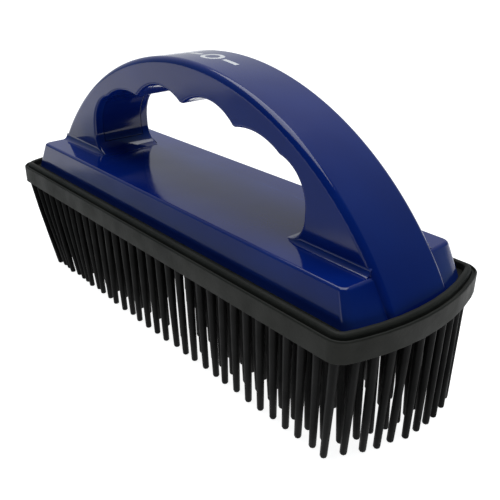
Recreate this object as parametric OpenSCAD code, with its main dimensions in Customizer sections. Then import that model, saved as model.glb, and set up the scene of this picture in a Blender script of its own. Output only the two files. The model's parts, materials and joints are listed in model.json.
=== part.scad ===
// Hand-held rubber bristle curry comb: a hollow arched handle on a long base, and a
// rubber pad whose rim is stretched over the edge of a backing plate.
// +X runs along the comb, +Z is up, and the bristle tips stand on z = 0.

/* [Pad outline] */
// Length of the rubber rim from corner to corner
rim_l = 159; // [130:0.5:195]
// Width of the rubber rim
rim_w = 56.4; // [46:0.2:70]
// How far each short end bows outwards past its corners
end_bow = 5.8; // [2:0.1:9]
// Corner radius of the rim
rim_corner_r = 3.4; // [3:0.1:8]

/* [Rubber pad] */
// Height of the rim's outer wall
rim_h = 6.1; // [5.4:0.1:9]
// Thickness of the web that carries the bristles
web_t = 2.8; // [1.8:0.1:4]
// Thickness of the rim's outer wall
rim_t = 2.1; // [1.5:0.1:3]
// Width of the whole top of the rim, from its outer wall to the edge of its lip
rim_top_w = 3.4; // [3:0.1:4]
// Width of the groove along the top of the rim
rim_groove_w = 1; // [0.8:0.1:2]
// Depth of the groove along the top of the rim
rim_groove_d = 0.6; // [0.2:0.05:0.8]
// Land between the outer wall and the groove
rim_land = 0.5; // [0.3:0.1:0.8]
// Height of the bead on the lip, above the outer wall
bead_h = 1; // [0.4:0.1:1.6]

/* [Bristles] */
// Height of the web's underside over the bristle tips
bristle_l = 30.5; // [20:0.5:40]
// Bristle diameter at the root
root_d = 2.6; // [2:0.1:3.2]
// Bristle diameter at the tip
tip_d = 1.9; // [1:0.1:2]
// Distance between neighbours in one ring
bristle_pitch = 4.9; // [4.4:0.1:8]
// Distance between one ring of bristles and the next
ring_step = 5.1; // [4.4:0.1:8]
// Distance from the outside of the rim to the first ring
edge_inset = 2.5; // [2:0.1:4]

/* [Backing plate] */
// Thickness of the plate
plate_t = 2.3; // [1.9:0.1:3]
// Clearance between the plate's edge and the rim
plate_fit = 0.15; // [0.1:0.05:0.3]
// Diameter of the holes for the screw shanks
plate_hole_d = 3.2; // [3:0.1:4]

/* [Handle base] */
// Height of the base from the plate up to the deck
skirt_h = 9.3; // [7:0.1:14]
// Setback of the skirt from the outside of the rim, on the long sides
skirt_side_gap = 5.7; // [5.2:0.1:9]
// Setback of the skirt's corners from the rim's corners, lengthways
skirt_end_gap = 2.1; // [2:0.1:6]
// Bow of the skirt's lower edge at each end
skirt_bow = 4.2; // [1:0.1:4.4]
// Bow of the deck at each end
deck_bow = 0.5; // [0.3:0.1:2]
// How far each long side leans in from its foot to the deck
side_draft = 1.7; // [0.5:0.1:3]
// How far each end leans in from its foot to the deck
end_draft = 3.3; // [1:0.1:5]
// Corner radius of the skirt
skirt_corner_r = 2.2; // [1.8:0.1:5]
// Rounding of the deck's edge
deck_edge_r = 0.8; // [0.5:0.1:1.6]
// Wall thickness of the shell
wall = 2.4; // [1.6:0.1:3]

/* [Arch] */
// Overall height of the comb
total_h = 84; // [74:0.5:101]
// Width of the grip at its top
grip_w = 20.8; // [18:0.2:25]
// Width of the legs where they meet the deck
leg_w = 22.8; // [20:0.2:27]
// Thickness of the grip at the ridges between the fingers
grip_t = 12.5; // [10:0.1:15]
// Thickness of each leg, lengthways, at its narrowest
leg_t = 16.9; // [12:0.1:22]
// Radius of the opening's lower corners
low_corner_r = 7; // [4:0.5:10]
// Radius of the opening's upper corners
high_corner_r = 12.4; // [8:0.1:13]
// Height of the straight stretch between the two corners
leg_straight = 2.1; // [1:0.1:5]

/* [Finger grooves] */
// Radius of the two middle grooves
mid_groove_r = 17.9; // [14:0.1:22]
// Radius of the two outer grooves
end_groove_r = 22.6; // [18:0.1:28]
// Distance between the centres of the two middle grooves
finger_pitch = 21.6; // [19:0.1:24]
// Distance from a middle groove to the outer groove beside it
outer_step = 18.2; // [16:0.1:22]
// Depth of the grooves past the ridges' arc
finger_d = 3.9; // [2:0.1:4.4]

/* [Grip liner] */
// Thickness of the liner that closes the hollow arch
liner_t = 2.2; // [1.4:0.1:2.6]
// Clearance all round the liner
liner_fit = 0.15; // [0.1:0.05:0.3]

/* [Screws] */
// Diameter of the screw shank
screw_d = 2.6; // [2.2:0.1:3]
// Diameter of the countersunk head
screw_head_d = 5.6; // [4.8:0.1:6.4]
// Depth of the countersunk head
screw_head_h = 1.6; // [1.2:0.1:1.8]
// Length of the screw
screw_l = 8; // [6:0.5:9]
// Radial clearance of the shank in its boss
screw_fit = 0.05; // [0.05:0.01:0.1]
// Clearance between a screw's end and the bottom of its bore
bore_end_gap = 0.5; // [0.3:0.1:1]
// Width of the slots of the cross recess in a screw head
recess_w = 0.7; // [0.5:0.1:1]
// Depth of the cross recess
recess_d = 0.8; // [0.5:0.1:1]
// Diameter of the screw bosses
boss_d = 6.6; // [5.6:0.1:8]
// Distance of the outer bosses from the middle, lengthways
boss_x = 57; // [45:0.5:60]
// Distance of the bosses from the long centre line
boss_y = 13.8; // [12.5:0.1:15]
// Thickness of the ribs under the deck
rib_t = 1.6; // [1:0.1:2.2]

/* [Hidden] */

eps = 0.02;
END_STEPS = 8;
CORNER_STEPS = 4;
EDGE_STEPS = 3;

// heights
web_z = bristle_l;
plate_z = web_z + web_t;
skirt_z = plate_z + plate_t;
deck_z = skirt_z + skirt_h;
rim_z = web_z + rim_h;
lip_z = skirt_z + plate_fit;
screw_tip_z = plate_z + screw_l;

// the rim's end arc
rim_arc_r = (pow(rim_w / 2, 2) + pow(end_bow, 2)) / (2 * end_bow);
rim_arc_x = rim_l / 2 + end_bow - rim_arc_r;

// the skirt's foot and the deck
skirt_a = rim_l / 2 - skirt_end_gap;
skirt_b = rim_w / 2 - skirt_side_gap;
deck_a = skirt_a - end_draft;
deck_b = skirt_b - side_draft;

// the arch: its outer arc runs from the top down to the skirt's foot at each end
arch_foot_x = skirt_a + skirt_bow;
arch_rise = total_h - skirt_z;
arch_r = (pow(arch_foot_x, 2) + pow(arch_rise, 2)) / (2 * arch_rise);
arch_cz = total_h - arch_r;
ridge_r = arch_r - grip_t;

// the hand opening
low_z = deck_z + low_corner_r;
high_z = low_z + leg_straight;
opening_x = sqrt(pow(arch_r, 2) - pow(high_z - arch_cz, 2)) - leg_t;
foot_x = opening_x - low_corner_r;
channel_y = grip_w / 2 - wall;
mid_groove_x = finger_pitch / 2;
end_groove_x = mid_groove_x + outer_step;

// screws
boss_places = [for (x = [-boss_x, 0, boss_x], y = [-boss_y, boss_y]) [x, y]];

// first quadrant of an outline with bowed ends: end arc, then corner arc
function quarter(a, b, bow, r) =
    let (
        re = (b * b + bow * bow) / (2 * bow),
        xc = a + bow - re,
        cy = b - r,
        cx = xc + sqrt(pow(re - r, 2) - cy * cy),
        th = atan2(cy, cx - xc)
    )
    concat(
        [for (i = [0 : END_STEPS - 1]) let (t = th * i / END_STEPS) [xc + re * cos(t), re * sin(t)]],
        [for (i = [0 : CORNER_STEPS]) let (t = th + (90 - th) * i / CORNER_STEPS)
            [cx + r * cos(t), cy + r * sin(t)]]
    );

function mirrored(points, sx, sy) = [for (p = points) [sx * p.x, sy * p.y]];

function backwards(points) = [for (i = [len(points) - 1 : -1 : 0]) points[i]];

function tail(points) = [for (i = [1 : len(points) - 1]) points[i]];

// whole outline, anticlockwise from the +X apex
function bowed(a, b, bow, r) =
    let (q = quarter(a, b, bow, r))
    concat(q, backwards(tail(mirrored(q, -1, 1))), mirrored(q, -1, -1),
        backwards(tail(mirrored(q, 1, -1))));

// the rim's outline moved in by d, parallel to itself
function rim_outline(d) =
    let (
        b = rim_w / 2 - d,
        a = rim_arc_x + sqrt(pow(rim_arc_r - d, 2) - b * b)
    )
    bowed(a, b, rim_arc_x + rim_arc_r - d - a, max(rim_corner_r - d, 1.2));

function skirt_outline(share, inset) =
    bowed(skirt_a - end_draft * share - inset, skirt_b - side_draft * share - inset,
        skirt_bow + (deck_bow - skirt_bow) * share, max(skirt_corner_r - inset, 1));

// height of the ridges' arc over a place x along the grip
function ridge_z(x) = arch_cz + sqrt(pow(ridge_r, 2) - x * x);

// a solid through closed outlines of equal length, each [height, points]
module loft(rings) {
    n = len(rings[0][1]);
    top = len(rings) - 1;
    points = [for (ring = rings) for (p = ring[1]) [p.x, p.y, ring[0]]];
    sides = [for (k = [0 : top - 1]) for (i = [0 : n - 1])
        [k * n + i, (k + 1) * n + i, (k + 1) * n + (i + 1) % n, k * n + (i + 1) % n]];
    polyhedron(points, concat([[for (i = [0 : n - 1]) i]], sides,
        [[for (i = [n - 1 : -1 : 0]) top * n + i]]), convexity = 4);
}

module band(z0, z1, outer, inner) {
    translate([0, 0, z0])
        linear_extrude(z1 - z0)
            difference() {
                polygon(outer);
                polygon(inner);
            }
}

// stands an outline drawn in x and z on the long centre plane, t wide
module across(t) {
    rotate([90, 0, 0])
        linear_extrude(t, center = true)
            children();
}

// ---- handle shell ----

module base_block() {
    edge_share = (skirt_h - deck_edge_r) / skirt_h;
    loft(concat(
        [[skirt_z, skirt_outline(0, 0)]],
        [for (i = [0 : EDGE_STEPS]) let (t = 90 * i / EDGE_STEPS)
            [deck_z - deck_edge_r * (1 - sin(t)),
                skirt_outline(edge_share, deck_edge_r * (1 - cos(t)))]]
    ));
}

module base_hollow() {
    loft([
        [skirt_z - 1, skirt_outline(0, wall)],
        [deck_z - wall, skirt_outline(1, wall)]
    ]);
}

// the hand opening seen from the side, grown outwards by g
module opening_2d(g) {
    for (s = [-1, 1]) {
        translate([s * foot_x, low_z])
            circle(low_corner_r + g, $fn = 64);
        intersection() {
            union() {
                translate([s * (opening_x - high_corner_r), high_z])
                    circle(high_corner_r + g, $fn = 64);
                translate([s * mid_groove_x, ridge_z(mid_groove_x) + finger_d - mid_groove_r])
                    circle(mid_groove_r + g, $fn = 96);
                translate([s * end_groove_x, ridge_z(end_groove_x) + finger_d - end_groove_r])
                    circle(end_groove_r + g, $fn = 96);
            }
            translate([-opening_x - g, high_z - eps])
                square([2 * (opening_x + g), total_h]);
        }
    }
    translate([-foot_x, deck_z - g])
        square([2 * foot_x, low_corner_r + leg_straight + 2 * g]);
    translate([-opening_x - g, low_z])
        square([2 * (opening_x + g), leg_straight]);
    intersection() {
        translate([0, arch_cz])
            circle(ridge_r + g, $fn = 180);
        translate([high_corner_r - opening_x, high_z - eps])
            square([2 * (opening_x - high_corner_r), total_h]);
    }
}

module arch_2d() {
    difference() {
        intersection() {
            translate([0, arch_cz])
                circle(arch_r, $fn = 240);
            translate([-rim_l, skirt_z])
                square([2 * rim_l, total_h]);
        }
        opening_2d(0);
    }
}

module arch_block() {
    half_top = grip_w / 2;
    half_low = leg_w / 2;
    intersection() {
        across(leg_w + 2)
            arch_2d();
        rotate([90, 0, 90])
            linear_extrude(2 * rim_l, center = true)
                polygon([[-half_low, skirt_z], [half_low, skirt_z], [half_low, deck_z],
                    [half_top, total_h], [-half_top, total_h], [-half_low, deck_z]]);
    }
}

// the hollow of the arch, which stops short of the deck between the legs
module arch_channel() {
    across(2 * channel_y)
        difference() {
            intersection() {
                translate([0, arch_cz])
                    circle(arch_r - wall, $fn = 240);
                translate([-rim_l, skirt_z - 1])
                    square([2 * rim_l, total_h]);
            }
            translate([-foot_x, 0])
                square([2 * foot_x, deck_z + low_corner_r / 2]);
        }
}

module screw_bore() {
    translate([0, 0, skirt_z - 1])
        cylinder(h = screw_tip_z - skirt_z + 1 + bore_end_gap, d = screw_d + 2 * screw_fit, $fn = 48);
}

module deck_rib(x) {
    translate([x - rib_t / 2, -boss_y, deck_z - wall - skirt_h / 3])
        cube([rib_t, 2 * boss_y, skirt_h / 3 + eps]);
}

module handle_shell() {
    color([0.06, 0.13, 0.45])
        difference() {
            union() {
                difference() {
                    union() {
                        base_block();
                        arch_block();
                    }
                    base_hollow();
                    arch_channel();
                }
                for (p = boss_places)
                    translate([p.x, p.y, skirt_z])
                        cylinder(h = skirt_h - wall + eps, d = boss_d, $fn = 48);
                for (x = [-boss_x / 2, boss_x / 2])
                    deck_rib(x);
            }
            for (p = boss_places)
                translate([p.x, p.y, 0])
                    screw_bore();
        }
}

// ---- grip liner ----

module grip_liner() {
    color([0.05, 0.11, 0.4])
        across(2 * (channel_y - liner_fit))
            difference() {
                intersection() {
                    opening_2d(liner_t);
                    translate([0, arch_cz])
                        circle(arch_r - wall - liner_fit, $fn = 240);
                }
                opening_2d(0);
                translate([-foot_x - liner_fit, 0])
                    square([2 * (foot_x + liner_fit), deck_z + low_corner_r / 2]);
            }
}

// ---- backing plate and its screws ----

module base_plate() {
    color([0.1, 0.1, 0.11])
        difference() {
            translate([0, 0, plate_z])
                linear_extrude(plate_t)
                    polygon(rim_outline(rim_t + plate_fit));
            for (p = boss_places)
                translate([p.x, p.y, plate_z]) {
                    translate([0, 0, -1])
                        cylinder(h = plate_t + 2, d = plate_hole_d, $fn = 48);
                    translate([0, 0, -eps])
                        cylinder(h = screw_head_h + 2 * screw_fit, d1 = screw_head_d + 0.4,
                            d2 = plate_hole_d, $fn = 48);
                }
        }
}

module plate_screw() {
    difference() {
        union() {
            cylinder(h = screw_head_h, d1 = screw_head_d, d2 = screw_d, $fn = 48);
            translate([0, 0, screw_head_h - eps])
                cylinder(h = screw_l - screw_head_h - screw_d / 2, d = screw_d, $fn = 48);
            translate([0, 0, screw_l - screw_d / 2 - 2 * eps])
                cylinder(h = screw_d / 2, d1 = screw_d, d2 = screw_d / 4, $fn = 48);
        }
        for (turn = [0, 90])
            rotate(turn)
                translate([-screw_d / 2, -recess_w / 2, recess_d - 5])
                    cube([screw_d, recess_w, 5]);
    }
}

module plate_screws() {
    color([0.72, 0.72, 0.7])
        for (p = boss_places)
            translate([p.x, p.y, plate_z])
                plate_screw();
}

// ---- rubber pad ----

// the bow of a ring whose corners are at half width b
function ring_bow(b) = rim_arc_x + rim_arc_r - sqrt(pow(rim_arc_r, 2) - b * b) - rim_arc_x;

// root places of one ring; every second ring is shifted by half a step
function ring_places(k) =
    let (
        b = rim_w / 2 - edge_inset - k * ring_step,
        a = rim_l / 2 - edge_inset - k * ring_step,
        nx = round(2 * a / bristle_pitch),
        ny = max(round(2 * b / ring_step), 1),
        shift = k % 2 == 0 ? 0 : 0.5,
        arc = rim_arc_r - edge_inset,
        apex = a + arc - sqrt(arc * arc - b * b),
        flat = b < ring_step / 2
    )
    concat(
        [for (i = [0 : nx - 2 * shift]) for (s = flat ? [1] : [-1, 1])
            [-a + 2 * a * (i + shift) / nx, s * (flat ? 0 : b)]],
        flat ? [] : [for (j = [1 - 2 * shift : ny - 1]) for (s = [-1, 1])
            let (y = -b + 2 * b * (j + shift) / ny)
            [s * (apex - arc + sqrt(arc * arc - y * y)), y]]
    );

ring_count = floor((rim_w / 2 - edge_inset) / ring_step) + 1;

module bristles() {
    for (k = [0 : ring_count - 1])
        for (p = ring_places(k))
            translate([p.x, p.y, 0])
                cylinder(h = web_z + web_t / 4, d1 = tip_d, d2 = root_d, $fn = 32);
}

module rubber_pad() {
    color([0.09, 0.09, 0.09]) {
        translate([0, 0, web_z])
            linear_extrude(web_t)
                polygon(rim_outline(0));
        band(plate_z - eps, lip_z, rim_outline(0), rim_outline(rim_t));
        band(lip_z - eps, rim_z - rim_groove_d, rim_outline(0), rim_outline(rim_top_w));
        band(rim_z - rim_groove_d - eps, rim_z, rim_outline(0), rim_outline(rim_land));
        band(rim_z - rim_groove_d - eps, rim_z + bead_h,
            rim_outline(rim_land + rim_groove_w), rim_outline(rim_top_w));
        bristles();
    }
}

handle_shell();
grip_liner();
base_plate();
plate_screws();
rubber_pad();
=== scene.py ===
# %% [markdown]
# # A rubber bristle curry comb
#
# The real object is a hand brush for grooming horses. A glossy blue plastic handle arches over
# a low base, and a black rubber pad is stretched over a plate under it. The pad carries some
# 350 rubber bristles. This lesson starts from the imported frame, which fixes every size, and
# builds finer pieces on it with Blender's own modelling operators.

# %% Start from the frame
import json
import math

import bmesh
import bpy
from mathutils import Matrix, Vector

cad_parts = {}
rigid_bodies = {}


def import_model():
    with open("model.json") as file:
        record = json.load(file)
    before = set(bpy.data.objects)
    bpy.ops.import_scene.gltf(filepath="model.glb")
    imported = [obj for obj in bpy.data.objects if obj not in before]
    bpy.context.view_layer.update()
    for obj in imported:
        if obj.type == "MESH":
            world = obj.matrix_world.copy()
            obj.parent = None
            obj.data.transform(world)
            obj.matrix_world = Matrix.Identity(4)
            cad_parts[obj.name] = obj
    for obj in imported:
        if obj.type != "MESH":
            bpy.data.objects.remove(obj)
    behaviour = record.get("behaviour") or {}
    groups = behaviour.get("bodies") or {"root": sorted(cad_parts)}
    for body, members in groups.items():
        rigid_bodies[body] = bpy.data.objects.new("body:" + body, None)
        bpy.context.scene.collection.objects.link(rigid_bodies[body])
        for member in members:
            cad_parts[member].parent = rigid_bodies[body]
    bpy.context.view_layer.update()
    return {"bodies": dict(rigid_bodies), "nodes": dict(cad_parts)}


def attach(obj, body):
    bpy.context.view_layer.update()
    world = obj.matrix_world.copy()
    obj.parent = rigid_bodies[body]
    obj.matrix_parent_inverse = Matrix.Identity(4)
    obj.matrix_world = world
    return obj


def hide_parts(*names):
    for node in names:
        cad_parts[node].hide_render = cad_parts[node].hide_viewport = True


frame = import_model()
MM = 0.001
print("the frame holds", sorted(frame["nodes"]))

# %% [markdown]
# ## Working like a modeller
#
# Every piece below starts as a primitive, and is shaped in edit mode. An operator acts on
# whatever is selected, so the first helpers clear the selection and pick faces, edges or
# vertices by where they are. Sizes are written in millimetres and turned into metres once.


# %% Helpers that select and shape
def clear_selection():
    if bpy.context.object and bpy.context.object.mode != "OBJECT":
        bpy.ops.object.mode_set(mode="OBJECT")
    bpy.ops.object.select_all(action="DESELECT")


def work_on(piece):
    clear_selection()
    piece.select_set(True)
    bpy.context.view_layer.objects.active = piece
    bpy.ops.object.mode_set(mode="EDIT")


def leave():
    bpy.ops.object.mode_set(mode="OBJECT")


def pick(piece, kind, test):
    """Selects the faces, edges or vertices of the piece in edit mode whose place passes the test."""
    bpy.ops.mesh.select_mode(type={"verts": "VERT", "edges": "EDGE", "faces": "FACE"}[kind])
    bpy.ops.mesh.select_all(action="DESELECT")
    shape = bmesh.from_edit_mesh(piece.data)
    count = 0
    for item in getattr(shape, kind):
        if test(item):
            item.select_set(True)
            count += 1
    shape.select_flush_mode()
    bmesh.update_edit_mesh(piece.data)
    return count


def settle(piece, name):
    """Puts the piece's place into its mesh, and names it."""
    clear_selection()
    piece.select_set(True)
    bpy.context.view_layer.objects.active = piece
    bpy.ops.object.transform_apply(location=True, rotation=True, scale=True)
    piece.name = name
    piece.data.name = name
    return piece


def apply_modifier(piece, kind, **values):
    clear_selection()
    piece.select_set(True)
    bpy.context.view_layer.objects.active = piece
    modifier = piece.modifiers.new(kind.lower(), kind)
    for key, value in values.items():
        setattr(modifier, key, value)
    bpy.ops.object.modifier_apply(modifier=modifier.name)


def combine(piece, tool, how):
    """Adds, cuts or keeps the shape of the tool, then throws the tool away."""
    apply_modifier(piece, "BOOLEAN", object=tool, operation=how, solver="EXACT")
    bpy.data.objects.remove(tool)


def block(name, low, high):
    middle = [(a + b) / 2 * MM for a, b in zip(low, high)]
    size = [(b - a) * MM for a, b in zip(low, high)]
    clear_selection()
    bpy.ops.mesh.primitive_cube_add(size=1, location=middle, scale=size)
    return settle(bpy.context.object, name)


def keep_side(piece, point, direction):
    """Cuts the piece with a plane and keeps the side that the direction points to."""
    work_on(piece)
    bpy.ops.mesh.select_all(action="SELECT")
    bpy.ops.mesh.bisect(
        plane_co=[c * MM for c in point],
        plane_no=direction,
        use_fill=True,
        clear_inner=True,
    )
    leave()
    return piece


# %% [markdown]
# ## The base block
#
# The base is a low block with drafted walls, and its short ends bulge a little. A cube gives the
# six sides. Cuts along each end give it columns of vertices that can be pushed out into a
# bow, and the bevel operator rounds the corners. The top is drawn in afterwards for the draft.


# %% A block with bowed ends
def end_arc_depth(half_width, bow, y):
    """How far the bow stands out at y, for an arc that rises by bow at the middle."""
    radius = (half_width**2 + bow**2) / (2 * bow)
    return math.sqrt(radius**2 - y**2) - radius + bow


def bowed_block(name, half_length, half_width, bow_low, bow_high, corner, z_low, z_high):
    piece = block(name, (-half_length, -half_width, z_low), (half_length, half_width, z_high))
    work_on(piece)
    pick(
        piece,
        "edges",
        lambda e: abs(abs(e.verts[0].co.x) - half_length * MM) < 1e-6
        and abs(abs(e.verts[1].co.x) - half_length * MM) < 1e-6
        and abs(e.verts[0].co.y - e.verts[1].co.y) > half_width * MM
        and abs(e.verts[0].co.z - e.verts[1].co.z) < 1e-6,
    )
    bpy.ops.mesh.subdivide(number_cuts=8)
    for level, bow in ((z_low, bow_low), (z_high, bow_high)):
        for side in (-1, 1):
            for step in range(1, 9):
                y = -half_width + 2 * half_width * step / 9
                pick(
                    piece,
                    "verts",
                    lambda v: abs(v.co.x - side * half_length * MM) < 1e-6
                    and abs(v.co.y - y * MM) < 1e-5
                    and abs(v.co.z - level * MM) < 1e-6,
                )
                push = side * end_arc_depth(half_width, bow, y) * MM
                bpy.ops.transform.translate(value=(push, 0, 0))
    pick(
        piece,
        "edges",
        lambda e: (e.verts[0].co - e.verts[1].co).to_2d().length < 1e-6
        and all(
            abs(abs(v.co.x) - half_length * MM) < 1e-6 and abs(abs(v.co.y) - half_width * MM) < 1e-6
            for v in e.verts
        ),
    )
    bpy.ops.mesh.bevel(offset=corner * MM, segments=5, profile=0.5)
    leave()
    return piece


def flat_top(face, z):
    return face.normal.z > 0.99 and abs(face.calc_center_median().z - z * MM) < 1e-5


# %% The base of the handle
SKIRT_Z = 35.6
DECK_Z = 44.9
SKIRT_HALF_LENGTH, SKIRT_HALF_WIDTH, SKIRT_BOW = 77.4, 22.5, 4.2
DECK_HALF_LENGTH, DECK_HALF_WIDTH, DECK_BOW = 74.1, 20.8, 0.5
SKIRT_CORNER = 2.2
DECK_ROUNDING = 0.8
base = bowed_block(
    "base", SKIRT_HALF_LENGTH, SKIRT_HALF_WIDTH, SKIRT_BOW, DECK_BOW, SKIRT_CORNER, SKIRT_Z, DECK_Z
)
work_on(base)
pick(base, "faces", lambda f: flat_top(f, DECK_Z))
bpy.ops.transform.resize(
    value=(DECK_HALF_LENGTH / SKIRT_HALF_LENGTH, DECK_HALF_WIDTH / SKIRT_HALF_WIDTH, 1),
    center_override=(0, 0, DECK_Z * MM),
)
pick(
    base,
    "edges",
    lambda e: all(abs(v.co.z - DECK_Z * MM) < 1e-6 for v in e.verts),
)
bpy.ops.mesh.bevel(offset=DECK_ROUNDING * MM, segments=4, profile=0.5)
leave()
print("base block", [round(d / MM, 1) for d in base.dimensions])

# %% [markdown]
# ## The arch
#
# Seen from the side, the handle is one outline: a circular arc outside, and inside it the hand
# opening with its four finger grooves. The comb is the same at both ends, so only one half
# is drawn, by extruding a vertex from point to point, and a mirror adds the other half.
# Because the half outline has no hole in it, its edges take a clean bevel.


# %% Draw an outline and give it a width
def draw(name, points, half_width):
    """Draws an outline in x and z point by point, fills it, and makes it half_width thick each way."""
    clear_selection()
    bpy.ops.mesh.primitive_plane_add(size=0.001, location=(0, 0, 0))
    piece = bpy.context.object
    work_on(piece)
    bpy.ops.mesh.select_mode(type="VERT")
    bpy.ops.mesh.select_all(action="SELECT")
    bpy.ops.mesh.merge(type="CENTER")
    x, z = points[0]
    bpy.ops.transform.translate(value=(x * MM, -half_width * MM, z * MM))
    for next_x, next_z in points[1:]:
        step = ((next_x - x) * MM, 0, (next_z - z) * MM)
        bpy.ops.mesh.extrude_region_move(TRANSFORM_OT_translate={"value": step})
        x, z = next_x, next_z
    bpy.ops.mesh.select_all(action="SELECT")
    bpy.ops.mesh.edge_face_add()
    bpy.ops.mesh.extrude_region_move(
        TRANSFORM_OT_translate={"value": (0, 2 * half_width * MM, 0)}
    )
    bpy.ops.mesh.select_all(action="SELECT")
    bpy.ops.mesh.normals_make_consistent(inside=False)
    leave()
    return settle(piece, name)


def arc(centre_x, centre_z, radius, start, end, steps):
    """Points along an arc, from one angle to another, in degrees from +X."""
    turns = [math.radians(start + (end - start) * i / steps) for i in range(steps + 1)]
    return [(centre_x + radius * math.cos(t), centre_z + radius * math.sin(t)) for t in turns]


# %% The hand opening's outline
TOP_Z = 84.0
FOOT_X = 81.6
arch_radius = (FOOT_X**2 + (TOP_Z - SKIRT_Z) ** 2) / (2 * (TOP_Z - SKIRT_Z))
arch_centre = TOP_Z - arch_radius
LEG_THICKNESS = 16.9
GRIP_THICKNESS = 12.5
LOW_CORNER = 7.0
HIGH_CORNER = 12.4
CORNER_RISE = 2.1
GROOVES = ((10.8, 17.9), (29.0, 22.6))
GROOVE_DEPTH = 3.9
low_z = DECK_Z + LOW_CORNER
high_z = low_z + CORNER_RISE
opening_x = math.sqrt(arch_radius**2 - (high_z - arch_centre) ** 2) - LEG_THICKNESS
ridge_radius = arch_radius - GRIP_THICKNESS


def ridge_height(x):
    return arch_centre + math.sqrt(ridge_radius**2 - x**2)


def reach(x, z, radius, turn):
    """How far a ray from the opening's middle goes before it leaves a circle."""
    ray = Vector((math.cos(turn), math.sin(turn)))
    to_centre = Vector((x, z - low_z))
    along = to_centre.dot(ray)
    square = radius**2 - to_centre.length_squared + along**2
    return along + math.sqrt(square) if square > 0 else 0.0


def opening_outline(grow, spacing=0.8):
    """Half of the opening, from its top at x = 0 round to its floor, with points at an even spacing."""
    rounds = [(x, ridge_height(x) + GROOVE_DEPTH - r, r) for x, r in GROOVES]
    rounds += [(opening_x - HIGH_CORNER, high_z, HIGH_CORNER)]
    fine = []
    for i in range(2400):
        turn = math.radians(90 - 180 * i / 2399)
        up = math.sin(turn)
        best = 0.0
        if up > 0:
            best = max(reach(x, z, r + grow, turn) for x, z, r in rounds)
            ridge = reach(0, arch_centre, ridge_radius + grow, turn)
            if ridge * math.cos(turn) < opening_x - HIGH_CORNER:
                best = max(best, ridge)
            if best * up < high_z - low_z:
                best = (opening_x + grow) / math.cos(turn)
        else:
            best = reach(opening_x - LOW_CORNER, low_z, LOW_CORNER + grow, turn)
            if best * math.cos(turn) < opening_x - LOW_CORNER:
                best = (LOW_CORNER + grow) / -up
        fine.append((best * math.cos(turn), low_z + best * up))
    even = [fine[0]]
    gone = 0.0
    for before, point in zip(fine, fine[1:]):
        gone += math.dist(before, point)
        if gone >= spacing:
            even.append(point)
            gone = 0.0
    return even + [fine[-1]]


side_outline = opening_outline(0)
print("the half opening has", len(side_outline), "points, its top at", round(side_outline[0][1], 1))

# %% Half of the arch
HALF_GRIP = 10.4
HALF_LEG = 11.4
slope = (HALF_LEG - HALF_GRIP) / (TOP_Z - DECK_Z)
foot_angle = math.degrees(math.atan2(SKIRT_Z + 0.2 - arch_centre, FOOT_X))
inner = [p for p in side_outline if p[1] > DECK_Z + 0.03 or p[0] > opening_x - LOW_CORNER + 0.6]
outer = arc(0, arch_centre, arch_radius, foot_angle - 1.5, 90, 78)
WIDER_THAN_LEG = 13
arch = draw("arch", outer + inner + [(inner[-1][0], DECK_Z - 3)], WIDER_THAN_LEG)
for side in (-1, 1):
    keep_side(arch, (0, side * HALF_LEG, DECK_Z), (0, -side, -slope))
print("half arch", [round(d / MM, 1) for d in arch.dimensions], len(arch.data.polygons), "faces")


# %% Round its edges
OUTER_ROUNDING = 1.9
OPENING_ROUNDING = 1.0


def from_arch_axis(vertex):
    return math.hypot(vertex.co.x, vertex.co.z - arch_centre * MM) / MM


def across_faces(edge):
    """True where one of the edge's faces is a side face and the other isn't."""
    if len(edge.link_faces) != 2:
        return False
    flat = [abs(f.normal.y) > 0.95 for f in edge.link_faces]
    return flat[0] != flat[1]


def at_middle(edge):
    return all(abs(v.co.x) < 0.01 * MM for v in edge.verts)


work_on(arch)
pick(arch, "faces", lambda f: f.normal.x < -0.99 and abs(f.calc_center_median().x) < 0.01 * MM)
bpy.ops.mesh.delete(type="ONLY_FACE")
pick(
    arch,
    "edges",
    lambda e: across_faces(e) and all(from_arch_axis(v) > arch_radius - 0.3 for v in e.verts),
)
bpy.ops.mesh.bevel(offset=OUTER_ROUNDING * MM, segments=5, profile=0.5)
pick(
    arch,
    "edges",
    lambda e: across_faces(e)
    and all(from_arch_axis(v) < arch_radius - 6 and v.co.z > DECK_Z * MM for v in e.verts),
)
bpy.ops.mesh.bevel(offset=OPENING_ROUNDING * MM, segments=4, profile=0.5)
leave()
keep_side(arch, (0, 0, SKIRT_Z + 0.2), (0, 0, 1))
apply_modifier(arch, "MIRROR", use_axis=(True, False, False), use_clip=True, merge_threshold=0.00001)
print("whole arch has", len(arch.data.polygons), "faces")

# %% [markdown]
# ## One shell
#
# The liner sits in a pocket in the arch, so the pocket is cut next. It is the opening again,
# grown by the liner's thickness, but narrower than the arch, which leaves the side walls
# standing. Then arch and base are joined. The crease where each leg meets the deck is rounded by a
# strip with a hollow round face, joined on, which narrows to nothing at the leg's inner end.

# %% Strips that round the creases
FILLET = 2.0
FILLET_START = 51.0
FILLET_END = 73.7


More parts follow.
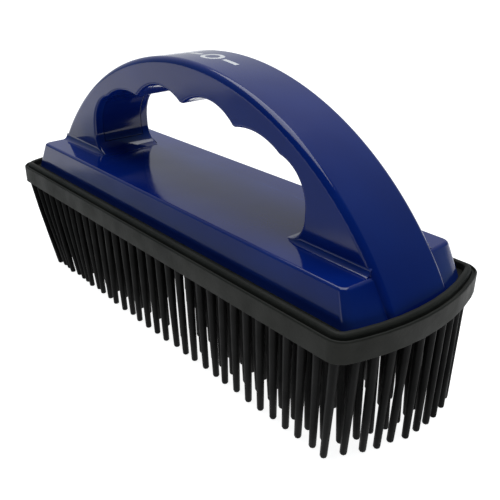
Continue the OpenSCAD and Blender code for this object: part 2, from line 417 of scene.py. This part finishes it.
def foot_strip(end, side):
    """A strip with a hollow round face, lying along the crease between one leg's side and the deck."""
    curve = arc(FILLET - 0.05, FILLET - 0.02, FILLET, 270, 180, 6)
    profile = [(-0.5, FILLET - 0.02), (-0.5, -0.5), (FILLET - 0.05, -0.5)] + curve
    half = (FILLET_END - FILLET_START) / 2
    strip = draw("strip", profile, half)
    inwards = end * side
    work_on(strip)
    pick(strip, "faces", lambda f: f.normal.y * inwards > 0.99)
    bpy.ops.mesh.extrude_region_move(TRANSFORM_OT_translate={"value": (0, inwards * 4 * MM, 0)})
    bpy.ops.transform.resize(
        value=(0.15, 1, 0.15), center_override=(0, inwards * (half + 4) * MM, 0)
    )
    leave()
    strip.rotation_euler.z = math.radians(90 * side)
    strip.location = (end * (FILLET_START + FILLET_END) / 2 * MM, side * HALF_LEG * MM, DECK_Z * MM)
    return settle(strip, "strip")


# %% Cut the liner's pocket and join arch and base
LINER = 2.2
POCKET_HALF = 8.0
FIT = 0.15
FLOOR = DECK_Z + LOW_CORNER / 2
right = [p for p in opening_outline(LINER + FIT) if p[1] > FLOOR - FIT]
right.append((right[-1][0], FLOOR - FIT))
left = [(-x, z) for x, z in reversed(right)]
combine(arch, draw("pocket", right + left[:-1], POCKET_HALF), "DIFFERENCE")
combine(arch, base, "UNION")
for end in (-1, 1):
    for side in (-1, 1):
        combine(arch, foot_strip(end, side), "UNION")
shell = arch
print("shell has", len(shell.data.polygons), "faces")

# %% Merge and shade the shell
work_on(shell)
bpy.ops.mesh.select_all(action="SELECT")
bpy.ops.mesh.remove_doubles(threshold=0.00001)
bpy.ops.mesh.dissolve_limited(angle_limit=math.radians(0.15))
leave()
settle(shell, "comb_handle")


def smooth(piece, degrees):
    clear_selection()
    piece.select_set(True)
    bpy.context.view_layer.objects.active = piece
    bpy.ops.object.shade_smooth_by_angle(angle=math.radians(degrees))
    apply_modifier(piece, "WEIGHTED_NORMAL", keep_sharp=True, weight=80)


smooth(shell, 32)

# %% The liner
inner = [p for p in side_outline if p[1] > FLOOR]
outer = [p for p in opening_outline(LINER) if p[1] > FLOOR]
inner.append((inner[-1][0], FLOOR))
outer.append((outer[-1][0], FLOOR))
liner = draw("grip_strip", inner + outer[::-1], POCKET_HALF - FIT)
work_on(liner)
pick(liner, "faces", lambda f: abs(f.normal.x) > 0.99 and abs(f.calc_center_median().x) < 0.01 * MM)
bpy.ops.mesh.delete(type="ONLY_FACE")
pick(liner, "edges", lambda e: across_faces(e) and not at_middle(e))
bpy.ops.mesh.bevel(offset=0.3 * MM, segments=2, profile=0.5)
leave()
apply_modifier(liner, "MIRROR", use_axis=(True, False, False), use_clip=True, merge_threshold=0.00001)
smooth(liner, 35)
print("liner has", len(liner.data.polygons), "faces")

# %% [markdown]
# ## The rubber pad
#
# The rim is a moulded profile: a wall, a groove along the top, a raised bead, and a step down
# to the plate. Insets of the top face follow the outline at an even distance, so each corner of
# the profile is one inset, moved up or down by its depth.

# %% The rim and its web
WEB_Z = 30.5
RIM_Z = 36.6
RIM_HALF_LENGTH, RIM_HALF_WIDTH, RIM_BOW = 79.5, 28.2, 5.8
RIM_CORNER = 3.4
UNDER_EDGE = 0.3
TOP_EDGE = 0.5
pad = bowed_block(
    "rubber_pad_body",
    RIM_HALF_LENGTH,
    RIM_HALF_WIDTH,
    RIM_BOW,
    RIM_BOW,
    RIM_CORNER,
    WEB_Z + UNDER_EDGE,
    RIM_Z - TOP_EDGE,
)


def step_in(distance, rise):
    """One corner of the rim's profile: inwards by the distance and up by the rise."""
    bpy.ops.mesh.inset(thickness=distance * MM, depth=0)
    bpy.ops.transform.translate(value=(0, 0, rise * MM))


work_on(pad)
pick(pad, "faces", lambda f: f.normal.z < -0.99)
for distance, rise in ((0.06, -0.12), (0.1, -0.1), (0.14, -0.08)):
    step_in(distance, rise)
pick(pad, "faces", lambda f: flat_top(f, RIM_Z - TOP_EDGE))
for distance, rise in (
    (0.06, 0.2),
    (0.12, 0.17),
    (0.17, 0.13),
    (0.15, 0.0),
    (0.12, -0.2),
    (0.06, -0.4),
    (0.55, 0.0),
    (0.12, 0.3),
    (0.15, 0.5),
    (0.25, 0.45),
    (0.35, 0.25),
    (0.4, 0.1),
    (0.35, -0.05),
    (0.3, -0.15),
    (0.15, -0.3),
    (0.08, -1.35),
):
    step_in(distance, rise)
leave()
PLATE_Z = 33.3
LIP_Z = 35.75
PLATE_SPACE = (77.5, 26.1, 5.7, 5.7, 1.6)
pocket = bowed_block("pocket", *PLATE_SPACE, PLATE_Z, LIP_Z)
combine(pad, pocket, "DIFFERENCE")
print("pad body", [round(d / MM, 1) for d in pad.dimensions])

# %% [markdown]
# ## The bristles
#
# One bristle is a tapering rod with a rounded tip. It is drawn once and copied to each place,
# ring by ring from the rim inwards. Rubber bristles never hang quite straight: they lean in
# towards the middle, those at one end have been pressed over, and those at one corner of the
# other end are splayed. Each copy is sheared to its own lean before all of them are joined to
# the pad, because pad and bristles are one moulding.

# %% One bristle
ROOT = 1.3
TIP = 0.95
clear_selection()
bpy.ops.mesh.primitive_cone_add(
    vertices=8,
    radius1=TIP * MM,
    radius2=ROOT * MM,
    depth=WEB_Z * MM,
    end_fill_type="NGON",
    location=(0, 0, WEB_Z / 2 * MM),
)
bristle = settle(bpy.context.object, "bristle")
work_on(bristle)
pick(bristle, "faces", lambda f: f.normal.z < -0.9)
bpy.ops.mesh.bevel(offset=0.42 * MM, segments=2, profile=0.5)
pick(bristle, "edges", lambda e: abs(e.verts[0].co.z - e.verts[1].co.z) > 20 * MM)
bpy.ops.mesh.subdivide(number_cuts=2)
pick(bristle, "verts", lambda v: v.co.z > (WEB_Z - 0.05) * MM)
bpy.ops.mesh.extrude_region_move(TRANSFORM_OT_translate={"value": (0, 0, 0.6 * MM)})
leave()
print("one bristle has", len(bristle.data.polygons), "faces")

# %% Where they stand
PITCH = 4.9
RING = 5.1
EDGE = 2.5
rim_arc = (RIM_HALF_WIDTH**2 + RIM_BOW**2) / (2 * RIM_BOW)


def ring_places(ring):
    """The places in one ring, which follows the rim's outline further in. Odd rings are staggered."""
    half_width = RIM_HALF_WIDTH - EDGE - ring * RING
    half_length = RIM_HALF_LENGTH - EDGE - ring * RING
    across = max(round(2 * half_width / RING), 1)
    along = round(2 * half_length / PITCH)
    shift = 0.5 if ring % 2 else 0
    end_arc = rim_arc - EDGE
    apex = half_length + end_arc - math.sqrt(end_arc**2 - half_width**2)
    middle_row = half_width < RING / 2
    found = []
    for i in range(int(along - 2 * shift) + 1):
        x = -half_length + 2 * half_length * (i + shift) / along
        found += [(x, 0.0)] if middle_row else [(x, -half_width), (x, half_width)]
    if not middle_row:
        for j in range(int(1 - 2 * shift), across):
            y = -half_width + 2 * half_width * (j + shift) / across
            out = apex - end_arc + math.sqrt(end_arc**2 - y**2)
            found += [(-out, y), (out, y)]
    return found


def wobble(x, y, seed):
    """A small even spread of values that is the same in each run."""
    value = math.sin(x * 12.9898 + y * 78.233 + seed * 37.719) * 43758.5453
    return 2 * (value - math.floor(value)) - 1


RINGS = 6
places = [(x, y, ring) for ring in range(RINGS) for x, y in ring_places(ring)]
print(len(places), "bristles")

# %% Copy and lean them
PRESSED = 13.5
PRESSED_LENGTH = 47.0
INWARDS = 2.0
GATHERED = 1.7
SPLAY = 7.0
SPREAD_INSIDE = 2.5
UNEVEN = 0.45
CURVE = 1.15


def lean(x, y, ring):
    """How far a bristle's tip stands from its root, along the comb and across it."""
    pressed = max(0.0, PRESSED_LENGTH - RIM_HALF_LENGTH - x) / PRESSED_LENGTH
    near_end = max(0.0, x / RIM_HALF_LENGTH) ** 2
    far_side = (y + RIM_HALF_WIDTH) / (2 * RIM_HALF_WIDTH)
    splay = -INWARDS + SPLAY * far_side + (SPREAD_INSIDE if ring else 0.0)
    along = PRESSED * pressed + splay * near_end + UNEVEN * wobble(x, y, 1)
    across = -GATHERED * y / RIM_HALF_WIDTH - SPLAY * far_side * near_end + UNEVEN * wobble(x, y, 2)
    return along, across


copies = []
for x, y, ring in places:
    one = bristle.copy()
    one.data = bristle.data.copy()
    bpy.context.scene.collection.objects.link(one)
    lean_x, lean_y = lean(x, y, ring)
    for vertex in one.data.vertices:
        down = max(0.0, 1 - vertex.co.z / (WEB_Z * MM))
        vertex.co.x += (x + lean_x * down**CURVE) * MM
        vertex.co.y += (y + lean_y * down**CURVE) * MM
    copies.append(one)
bpy.data.objects.remove(bristle)
smooth(pad, 40)
clear_selection()
for one in copies:
    one.select_set(True)
bpy.context.view_layer.objects.active = copies[0]
bpy.ops.object.shade_smooth_by_angle(angle=math.radians(60))
pad.select_set(True)
bpy.context.view_layer.objects.active = pad
bpy.ops.object.join()
settle(pad, "rubber_pad_with_bristles")
print("pad has", len(pad.data.polygons), "faces")

# %% [markdown]
# ## Which piece stands for which
#
# Each new piece rides on the comb's one rigid body and replaces the plain node it improves.
# The plate and its screws stay as the frame has them.

# %% Ride and replace
body = sorted(frame["bodies"])[0]
for piece, node, slot in (
    (shell, "handle_shell", "blue_plastic"),
    (liner, "grip_liner", "liner_plastic"),
    (pad, "rubber_pad", "black_rubber"),
):
    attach(piece, body)
    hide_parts(node)
print("riding on", body)

# %% [markdown]
# ## Finishes
#
# Moulded plastic is glossy but never perfect: the surface has a faint waviness, fine dust and
# hairline scratches, and its edges are rubbed a little paler. Rubber is rough. Its rim is grey where
# it is handled, partly dust and partly painted light on its lit top, and the bristles under it are
# painted near black as painted shade. Both are made with noise on Object coordinates, so that they stay
# with the piece.


# %% Tools for materials
def new_material(name):
    material = bpy.data.materials.new(name)
    material.use_nodes = True
    tree = material.node_tree
    shader = tree.nodes["Principled BSDF"]
    return material, tree, shader


def noise(tree, scale, detail=3.0, roughness=0.5, stretch=(1, 1, 1)):
    place = tree.nodes.new("ShaderNodeTexCoord")
    mapping = tree.nodes.new("ShaderNodeMapping")
    mapping.inputs["Scale"].default_value = stretch
    texture = tree.nodes.new("ShaderNodeTexNoise")
    texture.inputs["Scale"].default_value = scale
    texture.inputs["Detail"].default_value = detail
    texture.inputs["Roughness"].default_value = roughness
    tree.links.new(place.outputs["Object"], mapping.inputs["Vector"])
    tree.links.new(mapping.outputs["Vector"], texture.inputs["Vector"])
    return texture.outputs["Fac"]


def ramp(tree, source, stops):
    node = tree.nodes.new("ShaderNodeValToRGB")
    elements = node.color_ramp.elements
    while len(elements) < len(stops):
        elements.new(0.5)
    for element, (position, colour) in zip(elements, stops):
        element.position = position
        element.color = (*colour, 1) if len(colour) == 3 else colour
    tree.links.new(source, node.inputs["Fac"])
    return node.outputs["Color"]


def spread(tree, source, low, high, to_low, to_high):
    node = tree.nodes.new("ShaderNodeMapRange")
    node.inputs["From Min"].default_value = low
    node.inputs["From Max"].default_value = high
    node.inputs["To Min"].default_value = to_low
    node.inputs["To Max"].default_value = to_high
    tree.links.new(source, node.inputs["Value"])
    return node.outputs["Result"]


def part_of_place(tree, letter):
    """The X, Y or Z of the point being shaded, in metres."""
    place = tree.nodes.new("ShaderNodeTexCoord")
    split = tree.nodes.new("ShaderNodeSeparateXYZ")
    tree.links.new(place.outputs["Object"], split.inputs["Vector"])
    return split.outputs[letter]


def distance_from(tree, middle):
    """How far the point being shaded is from an upright line through the middle, in metres."""
    place = tree.nodes.new("ShaderNodeTexCoord")
    flat = tree.nodes.new("ShaderNodeMapping")
    flat.inputs["Scale"].default_value = (1, 1, 0)
    tree.links.new(place.outputs["Object"], flat.inputs["Vector"])
    away = tree.nodes.new("ShaderNodeVectorMath")
    away.operation = "DISTANCE"
    tree.links.new(flat.outputs["Vector"], away.inputs[0])
    away.inputs[1].default_value = middle
    return away.outputs["Value"]


def sums(tree, operation, first, second):
    """One sum of two values. Each is a number or the output of another node."""
    node = tree.nodes.new("ShaderNodeMath")
    node.operation = operation
    for socket, value in ((node.inputs[0], first), (node.inputs[1], second)):
        if isinstance(value, (int, float)):
            socket.default_value = value
        else:
            tree.links.new(value, socket)
    return node.outputs["Value"]


def between(tree, value, low, high):
    """One where the value is between low and high millimetres, and nought elsewhere."""
    above = sums(tree, "GREATER_THAN", value, low * MM)
    return sums(tree, "MULTIPLY", above, sums(tree, "LESS_THAN", value, high * MM))


def bump(tree, source, strength, distance, below=None):
    node = tree.nodes.new("ShaderNodeBump")
    node.inputs["Strength"].default_value = strength
    node.inputs["Distance"].default_value = distance
    tree.links.new(source, node.inputs["Height"])
    if below:
        tree.links.new(below, node.inputs["Normal"])
    return node.outputs["Normal"]


def mixed(tree, amount, first, second):
    node = tree.nodes.new("ShaderNodeMix")
    node.data_type = "RGBA"
    tree.links.new(amount, node.inputs["Factor"])
    for socket, value in ((node.inputs[6], first), (node.inputs[7], second)):
        if isinstance(value, tuple):
            socket.default_value = (*value, 1)
        else:
            tree.links.new(value, socket)
    return node.outputs[2]


def dress(piece, material):
    piece.data.materials.clear()
    piece.data.materials.append(material)


# %% A printed mark with no lettering
def printed_mark(tree):
    """A small ring between two bars, printed on the top of the arch."""
    x, y, z = (part_of_place(tree, letter) for letter in "XYZ")
    marks = between(tree, distance_from(tree, (0.002, 0, 0)), 2.2, 3.6)
    for low in (-9, 7):
        bar = sums(tree, "MULTIPLY", between(tree, y, -0.8, 0.8), between(tree, x, low, low + 6))
        marks = sums(tree, "MAXIMUM", marks, bar)
    worn = spread(tree, noise(tree, 1100, 3), 0.3, 0.4, 0.55, 0.95)
    return sums(tree, "MULTIPLY", sums(tree, "MULTIPLY", marks, between(tree, z, 79, 90)), worn)


# %% Glossy blue plastic
def blue_plastic(name, dark, light, printed=False):
    material, tree, shader = new_material(name)
    cloud = noise(tree, 35, 2)
    colour = ramp(tree, cloud, [(0.35, dark), (0.7, light)])
    edge = tree.nodes.new("ShaderNodeNewGeometry").outputs["Pointiness"]
    rubbed = spread(tree, edge, 0.53, 0.62, 0.0, 0.35)
    colour = mixed(tree, rubbed, colour, (0.03, 0.07, 0.26))
    if printed:
        colour = mixed(tree, printed_mark(tree), colour, (0.75, 0.76, 0.78))
    tree.links.new(colour, shader.inputs["Base Color"])
    smear = noise(tree, 90, 4, 0.6, (1, 1, 2.5))
    tree.links.new(spread(tree, smear, 0.35, 0.75, 0.07, 0.17), shader.inputs["Roughness"])
    wave = bump(tree, noise(tree, 55, 1), 0.12, 0.0008)
    tree.links.new(bump(tree, noise(tree, 900, 2), 0.03, 0.0001, wave), shader.inputs["Normal"])
    shader.inputs["IOR"].default_value = 1.5
    shader.inputs["Specular IOR Level"].default_value = 0.4
    return material


shell_blue = blue_plastic("shell blue", (0.001, 0.010, 0.12), (0.002, 0.017, 0.16), printed=True)
liner_blue = blue_plastic("liner blue", (0.001, 0.008, 0.10), (0.002, 0.014, 0.13))
dress(shell, shell_blue)
dress(liner, liner_blue)
print("the handle is blue")


# %% Black rubber
def black_rubber(name):
    material, tree, shader = new_material(name)
    cloud = noise(tree, 60, 4, 0.6)
    # Painted light: the bristles are painted near black as painted shade under the pad, and the rim
    # above them is painted grey, partly as dust and partly as painted light on its lit top.
    shaded_bristles = ramp(tree, cloud, [(0.3, (0.0006, 0.0006, 0.0006)), (0.75, (0.002, 0.002, 0.002))])
    dusty_lit_rim = ramp(tree, cloud, [(0.3, (0.010, 0.0105, 0.009)), (0.75, (0.021, 0.0215, 0.018))])
    lit_rim = spread(tree, part_of_place(tree, "Z"), 0.0295, 0.031, 0.0, 1.0)
    colour = mixed(tree, lit_rim, shaded_bristles, dusty_lit_rim)
    edge = tree.nodes.new("ShaderNodeNewGeometry").outputs["Pointiness"]
    rubbed = sums(tree, "MULTIPLY", spread(tree, edge, 0.52, 0.6, 0.0, 0.4), lit_rim)
    colour = mixed(tree, rubbed, colour, (0.05, 0.05, 0.047))
    tree.links.new(colour, shader.inputs["Base Color"])
    grain = noise(tree, 1400, 3, 0.6)
    tree.links.new(spread(tree, noise(tree, 150, 3), 0.3, 0.7, 0.42, 0.6), shader.inputs["Roughness"])
    tree.links.new(bump(tree, grain, 0.25, 0.0002), shader.inputs["Normal"])
    shader.inputs["IOR"].default_value = 1.5
    shader.inputs["Specular IOR Level"].default_value = 0.09
    return material


rubber = black_rubber("black rubber")
dress(pad, rubber)


# %% The hidden plate and screws
def plate_plastic(name):
    material, tree, shader = new_material(name)
    colour = ramp(tree, noise(tree, 80, 3), [(0.3, (0.012, 0.012, 0.013)), (0.7, (0.02, 0.02, 0.021))])
    tree.links.new(colour, shader.inputs["Base Color"])
    tree.links.new(spread(tree, noise(tree, 300, 2), 0.3, 0.7, 0.45, 0.65), shader.inputs["Roughness"])
    tree.links.new(bump(tree, noise(tree, 2000, 2), 0.15, 0.0001), shader.inputs["Normal"])
    return material


def screw_steel(name):
    material, tree, shader = new_material(name)
    colour = ramp(tree, noise(tree, 500, 3), [(0.3, (0.42, 0.41, 0.39)), (0.7, (0.62, 0.61, 0.58))])
    tree.links.new(colour, shader.inputs["Base Color"])
    shader.inputs["Metallic"].default_value = 1.0
    tree.links.new(
        spread(tree, noise(tree, 900, 3, 0.6, (1, 1, 6)), 0.3, 0.7, 0.22, 0.45),
        shader.inputs["Roughness"],
    )
    tree.links.new(bump(tree, noise(tree, 1500, 2), 0.1, 0.0001), shader.inputs["Normal"])
    return material


dress(frame["nodes"]["base_plate"], plate_plastic("plate plastic"))
dress(frame["nodes"]["plate_screws"], screw_steel("screw steel"))
print("every piece has its finish")

# %% [markdown]
# ## Floor, light and camera
#
# A glossy surface shows the room more than itself. The comb stands on a pale floor, lit softly
# from above. The room is pale behind it and dark on the viewer's side, and a patch of the floor
# in front is a little darker. That gives the deck its pale sheen and the walls their deep blue.

# %% Floor
clear_selection()
bpy.ops.mesh.primitive_plane_add(size=6, location=(0, 0, -0.0001))
floor = bpy.context.object
floor.name = "floor"
floor_paint, tree, shader = new_material("floor paint")
pale = ramp(tree, noise(tree, 4, 2), [(0.3, (0.44, 0.44, 0.44)), (0.7, (0.48, 0.48, 0.48))])
shade = spread(tree, distance_from(tree, (-0.13, -0.255, 0)), 0.175, 0.205, 0.0, 1.0)
tree.links.new(mixed(tree, shade, (0.22, 0.27, 0.28), pale), shader.inputs["Base Color"])
tree.links.new(spread(tree, shade, 0, 1, 0.22, 0.93), shader.inputs["Emission Strength"])
shader.inputs["Roughness"].default_value = 0.9
shader.inputs["Specular IOR Level"].default_value = 0.0
shader.inputs["Emission Color"].default_value = (1, 1, 1, 1)
dress(floor, floor_paint)

# %% Lights
world = bpy.data.worlds.new("room")
bpy.context.scene.world = world
world.use_nodes = True
sky = world.node_tree
heading = sky.nodes.new("ShaderNodeTexCoord")
facing = sky.nodes.new("ShaderNodeVectorMath")
facing.operation = "DOT_PRODUCT"
facing.inputs[1].default_value = (-0.67, 0.60, 0.25)
sky.links.new(heading.outputs["Generated"], facing.inputs[0])
brightness = spread(sky, facing.outputs["Value"], -0.1, 0.75, 0.06, 0.62)
sky.links.new(brightness, sky.nodes["Background"].inputs["Strength"])
tint = ramp(sky, brightness, [(0.1, (0.35, 0.75, 1.0)), (0.6, (0.95, 0.98, 1.0))])
sky.links.new(tint, sky.nodes["Background"].inputs["Color"])


def soft_light(name, place, target, size, power):
    data = bpy.data.lights.new(name, "AREA")
    data.shape = "RECTANGLE"
    data.size, data.size_y = size
    data.energy = power
    light = bpy.data.objects.new(name, data)
    light.location = place
    light.rotation_euler = (Vector(target) - Vector(place)).to_track_quat("-Z", "Y").to_euler()
    bpy.context.scene.collection.objects.link(light)
    return light


soft_light("top light", (-0.1, 0.1, 1.0), (0, 0, 0), (0.9, 0.9), 9)
print("lights are up")

# %% Camera
camera_data = bpy.data.cameras.new("viewer")
camera = bpy.data.objects.new("viewer", camera_data)
bpy.context.scene.collection.objects.link(camera)
camera_data.sensor_width = 36
camera_data.lens = 47.18
camera_data.clip_start = 0.01
turn = (
    Matrix.Rotation(math.radians(48.43), 4, "Z")
    @ Matrix.Rotation(math.radians(90 - 25.71), 4, "X")
    @ Matrix.Rotation(math.radians(0.61), 4, "Z")
)
camera.rotation_euler = turn.to_euler()
camera.location = (0.15509, -0.12058, 0.11573)
bpy.context.scene.camera = camera
bpy.context.scene.view_settings.view_transform = "Standard"

# %% Clear the selection
clear_selection()
